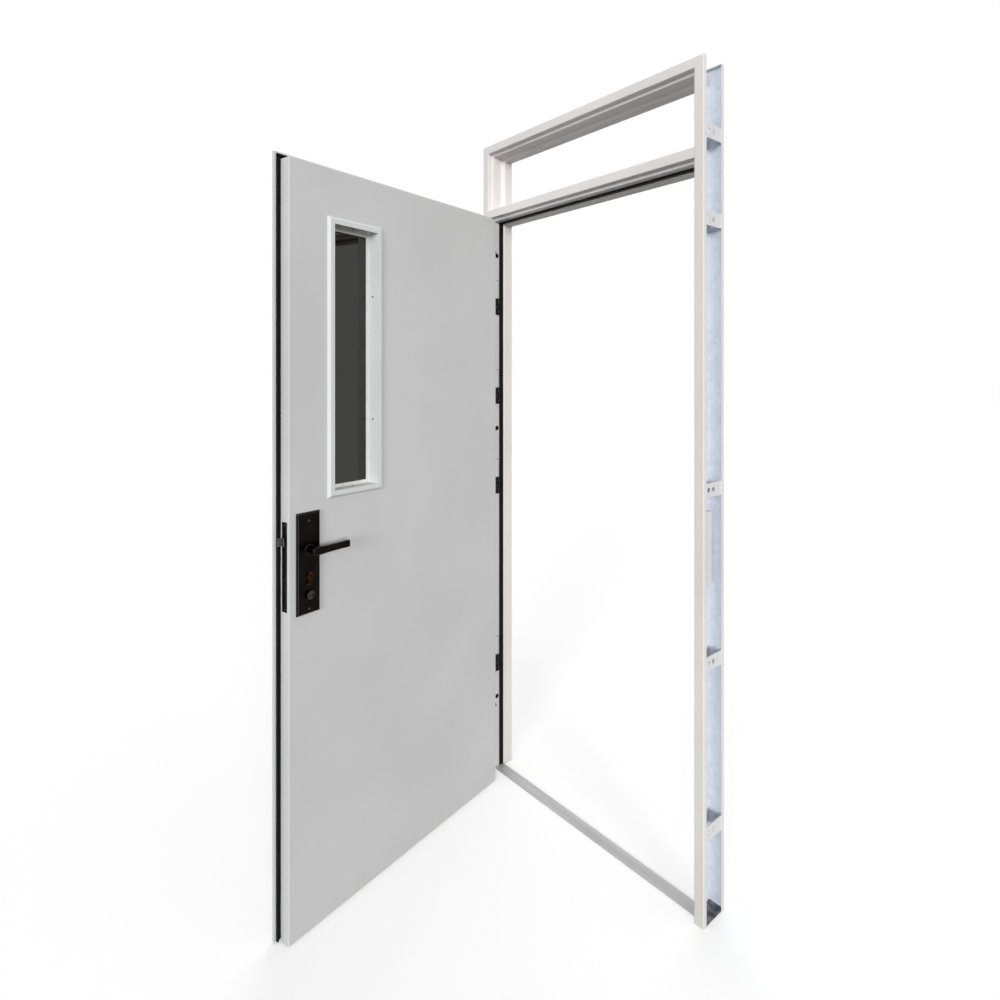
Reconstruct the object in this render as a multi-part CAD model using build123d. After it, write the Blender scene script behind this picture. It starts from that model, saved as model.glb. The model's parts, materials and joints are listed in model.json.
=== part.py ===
# Steel fire door with its frame: a folded frame with an open fanlight over a transom, and one leaf with a
# narrow window, standing open on four lift-off hinges.
# Millimetres. X runs across the frame from the hinge side to the lock side, Y from the front to the back,
# and Z up. The origin is on the floor, in the middle of the frame's width and depth.
import os

from build123d import *

# Frame, overall
frame_width = 976.0
frame_depth = 105.0
clear_height = 2121.0
transom_face = 30.5
fanlight_height = 218.5

# Folded section of the jambs, head and transom
frame_sheet = 1.5
bend_inside = 1.0
face_width = 30.0
recess_depth = 20.0
recess_width = 10.0
rebate_depth = 35.0
seat_depth = 15.0
stop_height = 9.0
front_return = 15.0
back_return = 14.0

# Anchor straps, foot plates and threshold
strap_height = 40.0
strap_sheet = 2.0
strap_hole_radius = 7.0
strap_hole_inset = 29.0
strap_hole_spacing = 22.5
strap_level_shares = (0.105, 0.300, 0.500, 0.814, 0.915)
foot_sheet = 2.0
threshold_sheet = 3.0
threshold_inset = 21.0
threshold_width = 42.0

# Seals
lip_seal_width = 12.5
lip_seal_base = 2.0
lip_seal_bulb = 6.5
lip_seal_thick = 6.5
lip_seal_round = 2.0
stop_seal_reach = 5.0
stop_seal_width = 5.0
stop_seal_round = 2.0

# Leaf
open_angle = 78.0
edge_gap = 11.0
floor_gap = 5.0
leaf_setback = 2.0
lip_width = 18.0
lip_thick = 10.0
body_thick = 40.0
leaf_sheet = 1.2
hem_flange = 12.0
leaf_bend = 2.0

# Hinges and dog bolts
pin_forward = 18.0
pin_radius = 5.0
pin_running = 0.05
barrel_radius = 10.0
flag_height = 63.0
flag_sheet = 3.0
flag_margin = 5.5
knuckle_gap = 0.4
notch_clearance = 3.0
hinge_level_shares = (0.2045, 0.5330, 0.6990, 0.8635)
dog_radius = 6.0
dog_reach = 19.0
dog_hole_play = 2.5
dog_inset = 36.0
dog_chamfer = 1.5
dog_level_shares = (0.127, 0.624, 0.943)

# Window in the leaf
window_width = 157.0
window_height = 754.0
window_edge_inset = 220.0
window_top_inset = 153.5
glazing_face = 20.0
glazing_bevel = 8.0
glazing_proud = 8.0
glazing_sheet = 1.5
glazing_flange = 10.0
glazing_play = 1.0
glass_thick = 6.0
glass_seal = 2.0
glass_inset = 4.0
glass_lip = 9.0

# Handle plates and levers
lock_backset = 57.0
lever_level = 1046.0
plate_width = 72.0
plate_height = 276.0
plate_thick = 8.0
plate_bevel = 3.0
plate_rise = 101.0
lever_projection = 38.0
lever_length = 108.0
lever_heel = 12.0
lever_thick = 10.0
lever_root_height = 22.0
lever_tip_height = 19.0
lever_round = 2.0
neck_radius = 10.0
turning_gap = 0.3
spindle_side = 8.0

# Profile cylinder and thumb turn
cylinder_drop = 71.0
cylinder_radius = 8.5
cylinder_web = 10.0
cylinder_height = 33.0
cylinder_proud = 5.0
plug_radius = 6.5
plug_length = 26.0
plug_proud = 0.8
plug_running = 0.06
keyway_width = 2.0
keyway_height = 8.0
keyway_depth = 8.0
thumb_drop = 123.0
thumb_radius = 11.0
thumb_height = 11.0
thumb_bevel = 2.5
thumb_slot_width = 3.0
thumb_slot_depth = 2.0
thumb_stem_radius = 4.0

# Mortise lock and strike
lock_height = 241.0
lock_drop = 40.5
lock_width = 23.4
faceplate_sheet = 3.0
case_thick = 18.0
case_end = 20.0
case_depth = 85.0
case_sheet = 1.5
bolt_play = 0.5
latch_rise = 28.0
latch_height = 20.0
latch_thick = 12.0
latch_throw = 17.0
latch_tail = 24.0
latch_bevel_length = 11.0
latch_nose = 3.0
deadbolt_drop = 88.0
deadbolt_height = 28.0
deadbolt_thick = 12.0
deadbolt_tail = 42.0
follower_radius = 12.0
follower_thick = 10.0
strike_sheet = 1.5
strike_height = 216.0
strike_width = 23.0
strike_drop = 7.0
strike_hole_play = 2.0
strike_box_sheet = 1.2
strike_box_height = 202.0
strike_box_width = 24.0
strike_box_margin = 4.0

# One overrun serves every cut
overrun = 5.0

# Places worked out from the sizes above
transom_top = clear_height + transom_face
frame_height = transom_top + fanlight_height + face_width
x_left = -frame_width / 2
x_right = frame_width / 2
y_front = -frame_depth / 2
y_back = frame_depth / 2
rebate_line = face_width + recess_width
stop_line = rebate_line + stop_height
seat_start = recess_depth + rebate_depth
seat_end = seat_start + seat_depth
frame_bend = frame_sheet + bend_inside
y_recess = y_front + recess_depth
y_seat = y_front + seat_start
x_rebate_left = x_left + rebate_line
x_rebate_right = x_right - rebate_line
rebate_top = clear_height - recess_width
mitre_reach = frame_depth + overrun

y_lip_front = y_front + leaf_setback
y_body_front = y_lip_front + lip_thick
y_push = y_body_front + body_thick
body_left = x_rebate_left + edge_gap
body_right = x_rebate_right - edge_gap
body_bottom = floor_gap
body_top = rebate_top - edge_gap
body_height = body_top - body_bottom
lip_left = body_left - lip_width
lip_right = body_right + lip_width
lip_top = body_top + lip_width

pin_x = x_left + face_width + flag_sheet / 2
pin_y = y_front - pin_forward
hinge_levels = [body_bottom + share * body_height for share in hinge_level_shares]
dog_levels = [body_bottom + share * body_height for share in dog_level_shares]
dog_y = y_front + dog_inset
strap_levels = [share * frame_height for share in strap_level_shares]

window_x = body_right - window_edge_inset
window_level = body_top - window_top_inset - window_height / 2
lock_x = body_right - lock_backset
lock_y = (y_body_front + y_push) / 2
lock_level = lever_level - lock_drop
latch_level = lever_level + latch_rise
deadbolt_level = lever_level - deadbolt_drop
cylinder_level = lever_level - cylinder_drop
thumb_level = lever_level - thumb_drop
y_plate_push = y_push + plate_thick
y_plate_pull = y_lip_front - plate_thick


def around(middle, width):
    return (middle - width / 2, middle + width / 2)


def block(x_span, y_span, z_span):
    spans = (x_span, y_span, z_span)
    size = [high - low for low, high in spans]
    middle = [(high + low) / 2 for low, high in spans]
    return Pos(*middle) * Box(*size)


def along_x(sketch_yz, x_span):
    return extrude(Plane.YZ.offset(x_span[0]) * sketch_yz, amount=x_span[1] - x_span[0], dir=(1, 0, 0))


def along_y(sketch_xz, y_span):
    return extrude(Plane.XZ.offset(-y_span[0]) * sketch_xz, amount=y_span[1] - y_span[0], dir=(0, 1, 0))


def along_z(sketch_xy, z_span):
    return extrude(Pos(0, 0, z_span[0]) * sketch_xy, amount=z_span[1] - z_span[0], dir=(0, 0, 1))


# A section drawn downwards from a level, run across the frame.
def rail_along_x(section, level, x_span):
    side = Plane(origin=(x_span[0], 0, level), x_dir=(0, 0, -1), z_dir=(1, 0, 0))
    return extrude(side * section, amount=x_span[1] - x_span[0], dir=(1, 0, 0))


def outline(*points):
    return Polygon(*points, align=None)


def rounded(sketch, radius):
    return fillet(sketch.vertices(), radius)


def rectangle(x_span, z_span):
    return Pos((x_span[0] + x_span[1]) / 2, (z_span[0] + z_span[1]) / 2) * Rectangle(
        x_span[1] - x_span[0], z_span[1] - z_span[0]
    )


def disc(x, z, radius):
    return Pos(x, z) * Circle(radius)


def to_lock_side(piece):
    return mirror(piece, about=Plane.YZ)


# Folded frame section: u runs inward from the frame's outer edge, y from front to back.
def section_envelope():
    return rounded(
        outline(
            (0, y_front),
            (face_width, y_front),
            (face_width, y_recess),
            (rebate_line, y_recess),
            (rebate_line, y_seat),
            (stop_line, y_front + seat_end),
            (stop_line, y_back),
            (0, y_back),
        ),
        frame_bend,
    )


def section_hollow():
    return offset(section_envelope(), amount=-frame_sheet)


def section_sheet():
    mouth = rectangle((-overrun, frame_sheet + overrun), (y_front + front_return, y_back - back_return))
    return section_envelope() - section_hollow() - mouth


# A triangle above or below the 45 degree line that falls inward from a corner on the hinge side.
def mitre_wedge(corner_x, corner_z, above):
    reach = mitre_reach
    last = (corner_x + reach, corner_z + reach) if above else (corner_x - reach, corner_z - reach)
    wedge = outline((corner_x - reach, corner_z + reach), (corner_x + reach, corner_z - reach), last)
    return along_y(wedge, (y_front - overrun, y_back + overrun))


def plain_jamb():
    bar = along_z(Pos(x_left, 0) * section_sheet(), (0, frame_height))
    return bar - mitre_wedge(x_left, frame_height, above=True)


def hinge_jamb():
    jamb = plain_jamb()
    for level in dog_levels:
        hole = disc(dog_y, level, dog_radius + dog_hole_play)
        jamb -= along_x(hole, (x_rebate_left - frame_sheet - overrun, x_rebate_left + overrun))
    return jamb


# Openings for the two bolts, cut through the reveal and through the strike plate on it.
def strike_holes():
    x_span = (x_rebate_right - strike_sheet - overrun, x_rebate_right + frame_sheet + overrun)
    y_latch = around(lock_y, latch_thick + 2 * strike_hole_play)
    y_deadbolt = around(lock_y, deadbolt_thick + 2 * strike_hole_play)
    latch = block(x_span, y_latch, around(latch_level, latch_height + 2 * strike_hole_play))
    deadbolt = block(x_span, y_deadbolt, around(deadbolt_level, deadbolt_height + 2 * strike_hole_play))
    return latch + deadbolt


def lock_jamb():
    return to_lock_side(plain_jamb()) - strike_holes()


def head_rail():
    bar = rail_along_x(section_sheet(), frame_height, (x_left, x_right))
    wedge = mitre_wedge(x_left, frame_height, above=False)
    return bar - wedge - to_lock_side(wedge)


# Cutter that fits a bar's end over a jamb's inner faces, longer and deeper than the jamb itself.
def jamb_cope():
    inside_bends = ((face_width, y_recess), (rebate_line, y_seat))
    section = outline(
        (-overrun, y_front - overrun),
        (face_width, y_front - overrun),
        inside_bends[0],
        (rebate_line, y_recess),
        inside_bends[1],
        (stop_line, y_front + seat_end),
        (stop_line, y_back + overrun),
        (-overrun, y_back + overrun),
    )
    corners = [section.vertices().sort_by_distance((u, y, 0))[0] for u, y in inside_bends]
    return along_z(Pos(x_left, 0) * fillet(corners, frame_bend), (-overrun, frame_height))


# Closed tube between the jambs: the door's rebate below, the fanlight's stop above.
def transom_bar():
    tube = rounded(
        outline(
            (y_front, clear_height),
            (y_recess, clear_height),
            (y_recess, rebate_top),
            (y_seat, rebate_top),
            (y_front + seat_end, rebate_top - stop_height),
            (y_back, rebate_top - stop_height),
            (y_back, transom_top + stop_height),
            (y_front + seat_end, transom_top + stop_height),
            (y_seat, transom_top),
            (y_front, transom_top),
        ),
        frame_bend,
    )
    wall = tube - offset(tube, amount=-frame_sheet)
    cope = jamb_cope()
    ends_in_jambs = (x_left + face_width / 2, x_right - face_width / 2)
    return along_x(wall, ends_in_jambs) - cope - to_lock_side(cope)


def threshold():
    y_start = y_front + threshold_inset
    ends_in_jambs = (x_left + face_width / 2, x_right - face_width / 2)
    strip = block(ends_in_jambs, (y_start, y_start + threshold_width), (0, threshold_sheet))
    cope = jamb_cope()
    return strip - cope - to_lock_side(cope)


def foot_plate():
    floor = section_hollow() - rectangle((-overrun, frame_sheet), (y_front, y_back))
    return along_z(Pos(x_left, 0) * floor, (0, foot_sheet))


# Flat straps welded behind the two returns of a jamb, each with two anchor holes.
def anchor_straps():
    return Compound(children=[anchor_strap(level) for level in strap_levels])


def anchor_strap(level):
    x_span = (x_left + frame_sheet, x_left + frame_sheet + strap_sheet)
    y_span = (y_front + frame_bend, y_back - frame_bend)
    strap = block(x_span, y_span, around(level, strap_height))
    first = y_front + strap_hole_inset
    for y in (first, first + strap_hole_spacing):
        hole = disc(y, level, strap_hole_radius)
        strap -= along_x(hole, (x_span[0] - overrun, x_span[1] + overrun))
    return strap


def strike_plate():
    z_span = around(lever_level - strike_drop, strike_height)
    y_start = y_recess + frame_bend
    plate = block((x_rebate_right - strike_sheet, x_rebate_right), (y_start, y_start + strike_width), z_span)
    return plate - strike_holes()


# Dust box behind the reveal, open towards the bolts.
def strike_box():
    x_span = (x_rebate_right + frame_sheet, x_right - strike_box_margin)
    y_span = (y_recess + frame_bend, y_recess + frame_bend + strike_box_width)
    z_span = around(lever_level - strike_drop, strike_box_height)
    inside = block(
        (x_span[0] - overrun, x_span[1] - strike_box_sheet),
        (y_span[0] + strike_box_sheet, y_span[1] - strike_box_sheet),
        (z_span[0] + strike_box_sheet, z_span[1] - strike_box_sheet),
    )
    return block(x_span, y_span, z_span) - inside


# Black seal in the corner of the stop's sloped seat, u measured inward from the rebate.
def stop_seal_section():
    y_nose = y_push - stop_seal_reach
    y_tail = y_seat + seat_depth * stop_seal_width / stop_height
    shape = outline((0, y_nose), (stop_seal_width, y_nose), (stop_seal_width, y_tail), (0, y_seat))
    nose = [v for v in shape.vertices() if v.X > stop_seal_width / 2 and v.Y < y_seat]
    return fillet(nose, stop_seal_round) - Pos(-rebate_line, 0) * section_envelope()


def stop_seal_hinge():
    seal = along_z(Pos(x_rebate_left, 0) * stop_seal_section(), (threshold_sheet, rebate_top))
    return seal - mitre_wedge(x_rebate_left, rebate_top, above=True)


def stop_seal_head():
    seal = rail_along_x(stop_seal_section(), rebate_top, (x_rebate_left, x_rebate_right))
    wedge = mitre_wedge(x_rebate_left, rebate_top, above=False)
    return seal - wedge - to_lock_side(wedge)


# Lift-off hinge: z is measured from the plane between its two knuckles.
def hinge_frame_flag(level):
    x_wall = x_left + face_width
    flag = outline(
        (x_wall, pin_y),
        (x_wall + flag_sheet, pin_y),
        (x_wall + flag_sheet, y_recess - flag_sheet),
        (x_rebate_left + flag_sheet, y_recess - flag_sheet),
        (x_rebate_left + flag_sheet, y_push - flag_margin),
        (x_rebate_left, y_push - flag_margin),
        (x_rebate_left, y_recess),
        (x_wall, y_recess),
    )
    bends = [v for v in flag.vertices() if y_recess - flag_sheet <= v.Y <= y_recess]
    outer = [v for v in bends if v.X + v.Y > x_rebate_left + y_recess or v.X < x_wall + flag_sheet / 2]
    z_span = (level - flag_height, level)
    body = along_z(fillet(outer, frame_bend), z_span)
    body += along_z(disc(pin_x, pin_y, barrel_radius), z_span)
    return body - along_z(disc(pin_x, pin_y, pin_radius), z_span)


def hinge_leaf_flag(level):
    y_tangent = pin_y + barrel_radius
    flag = outline(
        (pin_x, y_tangent),
        (body_left - flag_sheet, y_tangent),
        (body_left - flag_sheet, y_push - flag_margin),
        (body_left, y_push - flag_margin),
        (body_left, y_tangent - flag_sheet),
        (pin_x, y_tangent - flag_sheet),
    )
    outer = [v for v in flag.vertices() if v.X > body_left - flag_sheet / 2 and v.Y < y_tangent]
    z_span = (level + knuckle_gap, level + flag_height)
    body = along_z(fillet(outer, frame_bend), z_span)
    body += along_z(disc(pin_x, pin_y, barrel_radius), z_span)
    return body - along_z(disc(pin_x, pin_y, pin_radius + pin_running), z_span)


def hinge_pin(level):
    return along_z(disc(pin_x, pin_y, pin_radius), (level - flag_height, level + flag_height))


def hinge_notches():
    notches = []
    for level in hinge_levels:
        z_span = around(level, 2 * (flag_height + notch_clearance))
        notches.append(block((lip_left - overrun, body_left), (y_lip_front - overrun, y_recess), z_span))
    return notches


# Window opening, grown by a margin on every side.
def window_hole(margin, y_span):
    x_span = around(window_x, window_width + 2 * margin)
    z_span = around(window_level, window_height + 2 * margin)
    return block(x_span, y_span, z_span)


# The whole leaf's depth, with room to cut through it.
def through_leaf():
    return (y_lip_front - overrun, y_push + overrun)


def profile_shape(growth):
    foot = cylinder_height - cylinder_radius
    web = rectangle(
        around(lock_x, cylinder_web + 2 * growth),
        (cylinder_level - foot + cylinder_web / 2, cylinder_level),
    )
    end = disc(lock_x, cylinder_level - foot + cylinder_web / 2, cylinder_web / 2 + growth)
    return disc(lock_x, cylinder_level, cylinder_radius + growth) + web + end


# Everything of the lock that passes through the skins, the core and the handle plates.
def lock_passages(y_span, thumb):
    passages = along_y(profile_shape(turning_gap), y_span)
    passages += along_y(disc(lock_x, lever_level, spindle_side), y_span)
    if thumb:
        passages += along_y(disc(lock_x, thumb_level, thumb_stem_radius + turning_gap), y_span)
    return passages


# Sheet face with a hollow lip folded round three sides and a hem flange behind it.
def leaf_pull_skin():
    lip = block((lip_left, lip_right), (y_lip_front, y_body_front), (body_bottom, lip_top))
    hollow = block(
        (lip_left + leaf_sheet, lip_right - leaf_sheet),
        (y_lip_front + leaf_sheet, y_body_front - leaf_sheet),
        (body_bottom + leaf_sheet, lip_top - leaf_sheet),
    )
    mouth = block(
        (body_left + hem_flange, body_right - hem_flange),
        (y_lip_front + leaf_sheet, y_body_front + overrun),
        (body_bottom + hem_flange, body_top - hem_flange),
    )
    front_edges = lip.edges().filter_by(Plane.XZ).group_by(Axis.Y)[0]
    skin = fillet(front_edges, leaf_bend / 2) - hollow - mouth
    for notch in hinge_notches():
        skin -= notch
    skin -= window_hole(glazing_sheet + glazing_play, through_leaf())
    return skin - lock_passages((y_lip_front - overrun, lock_y), thumb=False)


# Tray that covers the push side and all four edges of the body.
def leaf_push_skin():
    body = block((body_left, body_right), (y_body_front, y_push), (body_bottom, body_top))
    push_edges = body.edges().filter_by(Plane.XZ).group_by(Axis.Y)[-1]
    hollow = block(
        (body_left + leaf_sheet, body_right - leaf_sheet),
        (y_body_front - overrun, y_push - leaf_sheet),
        (body_bottom + leaf_sheet, body_top - leaf_sheet),
    )
    skin = fillet(push_edges, leaf_bend) - hollow
    skin -= window_hole(glazing_sheet + glazing_play, through_leaf())
    skin -= faceplate_recess(0)
    return skin - lock_passages((lock_y, y_push + overrun), thumb=True)


def faceplate_recess(margin):
    x_span = (body_right - faceplate_sheet - margin, body_right + overrun)
    return block(x_span, around(lock_y, lock_width), around(lock_level, lock_height))


def case_span(margin):
    x_span = (body_right - faceplate_sheet - case_depth - margin, body_right - faceplate_sheet)
    y_span = around(lock_y, case_thick + 2 * margin)
    z_span = around(lock_level, lock_height - 2 * case_end + 2 * margin)
    return x_span, y_span, z_span


# Mineral infill between the skins.
def leaf_core():
    core = block(
        (body_left + leaf_sheet, body_right - leaf_sheet),
        (y_body_front, y_push - leaf_sheet),
        (body_bottom + leaf_sheet, body_top - leaf_sheet),
    )
    core += block(
        (body_left + hem_flange, body_right - hem_flange),
        (y_lip_front + leaf_sheet, y_body_front),
        (body_bottom + hem_flange, body_top - hem_flange),
    )
    core -= window_hole(glazing_flange + glazing_sheet + glazing_play, through_leaf())
    core -= block(*case_span(turning_gap))
    core -= faceplate_recess(turning_gap)
    return core - lock_passages(through_leaf(), thumb=True)


# Seal on the back of the lip: a flat base with a bulb on its outer half, u measured outward from the body.
def lip_seal_section():
    y_base = y_body_front + lip_seal_base
    y_bulb = y_body_front + lip_seal_thick
    shape = outline(
        (0, y_body_front),
        (lip_seal_width, y_body_front),
        (lip_seal_width, y_bulb),
        (lip_seal_width - lip_seal_bulb, y_bulb),
        (lip_seal_width - lip_seal_bulb, y_base),
        (0, y_base),
    )
    bulb = [v for v in shape.vertices() if v.Y > (y_base + y_bulb) / 2]
    return fillet(bulb, lip_seal_round)


def lip_seal_free():
    return along_z(Pos(body_right, 0) * lip_seal_section(), (body_bottom, body_top))


def lip_seal_top():
    x_span = (body_left - lip_seal_width, body_right + lip_seal_width)
    upward = Plane(origin=(x_span[0], 0, body_top), x_dir=(0, 0, 1), z_dir=(-1, 0, 0))
    return extrude(upward * lip_seal_section(), amount=x_span[1] - x_span[0], dir=(1, 0, 0))


# The hinge side's seal stops at each hinge.
def lip_seal_hinge():
    seal = to_lock_side(lip_seal_free())
    for notch in hinge_notches():
        seal -= notch
    return seal


def dog_bolts():
    bolts = []
    for level in dog_levels:
        bolt = along_x(disc(dog_y, level, dog_radius), (body_left - dog_reach, body_left))
        tip = bolt.edges().group_by(Axis.X)[0]
        bolts.append(chamfer(tip, dog_chamfer))
    return Compound(children=bolts)


# Bevelled face ring, sleeve through the leaf and flange that holds the glass.
# The leaf's face is at y_face, outward is +1 on the push side and -1 on the pull side.
def glazing_frame(y_face, outward, y_flange):
    y_top = y_face + outward * glazing_proud
    face = window_hole(glazing_face, sorted((y_face, y_top)))
    rim = face.edges().filter_by(Plane.XZ).group_by(Axis.Y)[-1 if outward > 0 else 0]
    ring = chamfer(rim, glazing_bevel - glazing_sheet)
    ring += window_hole(glazing_sheet, sorted((y_face, y_flange)))
    y_flange_inner = y_flange + outward * glazing_sheet
    ring += window_hole(glazing_flange, sorted((y_flange, y_flange_inner)))
    return ring - window_hole(0, sorted((y_top + outward * overrun, y_flange - outward * overrun)))


y_glass_pull = y_lip_front + glass_inset + glass_seal
y_glass_push = y_glass_pull + glass_thick
y_flange_pull = y_glass_pull - glass_seal
y_flange_push = y_glass_push + glass_seal


def glass_pane():
    return window_hole(glazing_flange, (y_glass_pull, y_glass_push))


# White tape under the flange, wide enough to show as a border on the glass.
def glass_seal_ring(y_span):
    return window_hole(glazing_flange, y_span) - window_hole(-glass_lip, (y_span[0] - overrun, y_span[1] + overrun))


def handle_plate(y_face, outward):
    y_top = y_face + outward * plate_thick
    z_top = lever_level + plate_rise
    plate = block(around(lock_x, plate_width), sorted((y_face, y_top)), (z_top - plate_height, z_top))
    rim = plate.edges().filter_by(Plane.XZ).group_by(Axis.Y)[-1 if outward > 0 else 0]
    plate = chamfer(rim, plate_bevel)
    passage = sorted((y_face - outward * overrun, y_top + outward * overrun))
    return plate - lock_passages(passage, thumb=outward > 0)


# Round neck and a flat bar that narrows towards its tip and points at the hinges.
def lever(y_plate, outward):
    y_root = y_plate + outward * turning_gap
    y_outer = y_plate + outward * lever_projection
    y_inner = y_outer - outward * lever_thick
    bar = outline(
        (lock_x + lever_heel, lever_level - lever_root_height / 2),
        (lock_x + lever_heel, lever_level + lever_root_height / 2),
        (lock_x - lever_length, lever_level + lever_tip_height / 2),
        (lock_x - lever_length, lever_level - lever_tip_height / 2),
    )
    arm = along_y(rounded(bar, lever_round), sorted((y_inner, y_outer)))
    arm = chamfer(arm.edges().filter_by(Plane.XZ), lever_round / 2)
    return arm + along_y(disc(lock_x, lever_level, neck_radius), sorted((y_root, y_outer - outward * lever_thick / 2)))


def spindle():
    side = around(lock_x, spindle_side)
    return block(side, (y_plate_pull - turning_gap, y_plate_push + turning_gap), around(lever_level, spindle_side))


def follower():
    hub = along_y(disc(lock_x, lever_level, follower_radius), around(lock_y, follower_thick))
    return hub - block(around(lock_x, spindle_side), through_leaf(), around(lever_level, spindle_side))


def lock_case():
    x_span, y_span, z_span = case_span(0)
    inside = block(
        (x_span[0] + case_sheet, x_span[1] + overrun),
        (y_span[0] + case_sheet, y_span[1] - case_sheet),
        (z_span[0] + case_sheet, z_span[1] - case_sheet),
    )
    return block(x_span, y_span, z_span) - inside - lock_passages(through_leaf(), thumb=True)


def latch_span(margin):
    return around(lock_y, latch_thick + 2 * margin), around(latch_level, latch_height + 2 * margin)


def deadbolt_span(margin):
    return around(lock_y, deadbolt_thick + 2 * margin), around(deadbolt_level, deadbolt_height + 2 * margin)


def lock_faceplate():
    x_span = (body_right - faceplate_sheet, body_right)
    plate = block(x_span, around(lock_y, lock_width), around(lock_level, lock_height))
    cut = (x_span[0] - overrun, x_span[1] + overrun)
    return plate - block(cut, *latch_span(bolt_play)) - block(cut, *deadbolt_span(bolt_play))


# Sprung latch, bevelled on the side that meets the strike as the leaf closes.
def latch_bolt():
    y_span, z_span = latch_span(0)
    x_tip = body_right + latch_throw
    shape = outline(
        (body_right - latch_tail, y_span[0]),
        (x_tip, y_span[0]),
        (x_tip, y_span[0] + latch_nose),
        (x_tip - latch_bevel_length, y_span[1]),
        (body_right - latch_tail, y_span[1]),
    )
    return along_z(shape, z_span)


def deadbolt():
    y_span, z_span = deadbolt_span(0)
    return block((body_right - deadbolt_tail, body_right), y_span, z_span)


def cylinder_body():
    y_span = (y_plate_pull - cylinder_proud, y_plate_push + cylinder_proud)
    body = along_y(profile_shape(0), y_span)
    bore = disc(lock_x, cylinder_level, plug_radius + plug_running)
    body -= along_y(bore, (y_span[1] - plug_length, y_span[1] + overrun))
    return body - along_y(bore, (y_span[0] - overrun, y_span[0] + plug_length))


def cylinder_plug(y_plate, outward):
    y_outer = y_plate + outward * (cylinder_proud + plug_proud)
    y_inner = y_plate + outward * (cylinder_proud - plug_length)
    plug = along_y(disc(lock_x, cylinder_level, plug_radius), sorted((y_inner, y_outer)))
    keyway = sorted((y_outer - outward * keyway_depth, y_outer + outward * overrun))
    return plug - block(around(lock_x, keyway_width), keyway, around(cylinder_level, keyway_height))


def thumb_turn():
    y_root = y_plate_push + turning_gap
    y_top = y_root + thumb_height
    knob = along_y(disc(lock_x, thumb_level, thumb_radius), (y_root, y_top))
    knob = chamfer(knob.edges().group_by(Axis.Y)[-1], thumb_bevel)
    slot = around(lock_x, thumb_slot_width)
    knob -= block(slot, (y_top - thumb_slot_depth, y_top + overrun), around(thumb_level, 2 * thumb_radius))
    return knob + along_y(disc(lock_x, thumb_level, thumb_stem_radius), (lock_y, y_root))


# The frame stands still. The leaf and all that it carries are modelled shut and then swung open.
frame_nodes = {
    "hinge_jamb": hinge_jamb(),
    "lock_jamb": lock_jamb(),
    "head_rail": head_rail(),
    "transom_bar": transom_bar(),
    "threshold": threshold(),
    "hinge_jamb_foot": foot_plate(),
    "lock_jamb_foot": to_lock_side(foot_plate()),
    "strike_plate": strike_plate(),
    "strike_box": strike_box(),
    "hinge_jamb_straps": anchor_straps(),
    "lock_jamb_straps": to_lock_side(anchor_straps()),
    "stop_seal_hinge": stop_seal_hinge(),
    "stop_seal_lock": to_lock_side(stop_seal_hinge()),
    "stop_seal_head": stop_seal_head(),
}
for number, level in enumerate(hinge_levels, start=1):
    frame_nodes[f"hinge_frame_flag_{number}"] = hinge_frame_flag(level)
    frame_nodes[f"hinge_pin_{number}"] = hinge_pin(level)

leaf_nodes = {
    "leaf_pull_skin": leaf_pull_skin(),
    "leaf_push_skin": leaf_push_skin(),
    "leaf_core": leaf_core(),
    "lip_seal_free": lip_seal_free(),
    "lip_seal_top": lip_seal_top(),
    "lip_seal_hinge": lip_seal_hinge(),
    "dog_bolts": dog_bolts(),
    "glazing_frame_push": glazing_frame(y_push, 1, y_flange_push),
    "glazing_frame_pull": glazing_frame(y_lip_front, -1, y_flange_pull),
    "glass_pane": glass_pane(),
    "glass_seal_push": glass_seal_ring((y_glass_push, y_flange_push)),
    "glass_seal_pull": glass_seal_ring((y_flange_pull, y_glass_pull)),
    "handle_plate_push": handle_plate(y_push, 1),
    "handle_plate_pull": handle_plate(y_lip_front, -1),
    "lever_push": lever(y_plate_push, 1),
    "lever_pull": lever(y_plate_pull, -1),
    "spindle": spindle(),
    "follower": follower(),
    "lock_case": lock_case(),
    "lock_faceplate": lock_faceplate(),
    "latch_bolt": latch_bolt(),
    "deadbolt": deadbolt(),
    "cylinder_body": cylinder_body(),
    "cylinder_plug_push": cylinder_plug(y_plate_push, 1),
    "cylinder_plug_pull": cylinder_plug(y_plate_pull, -1),
    "thumb_turn": thumb_turn(),
}
for number, level in enumerate(hinge_levels, start=1):
    leaf_nodes[f"hinge_leaf_flag_{number}"] = hinge_leaf_flag(level)

swing = Pos(pin_x, pin_y) * Rot(0, 0, -open_angle) * Pos(-pin_x, -pin_y)

os.makedirs("parts", exist_ok=True)
for name, shape in frame_nodes.items():
    export_step(shape, f"parts/{name}.step")
for name, shape in leaf_nodes.items():
    export_step(swing * shape, f"parts/{name}.step")
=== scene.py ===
import json
import math

import bpy
from mathutils import Matrix, Vector


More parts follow.
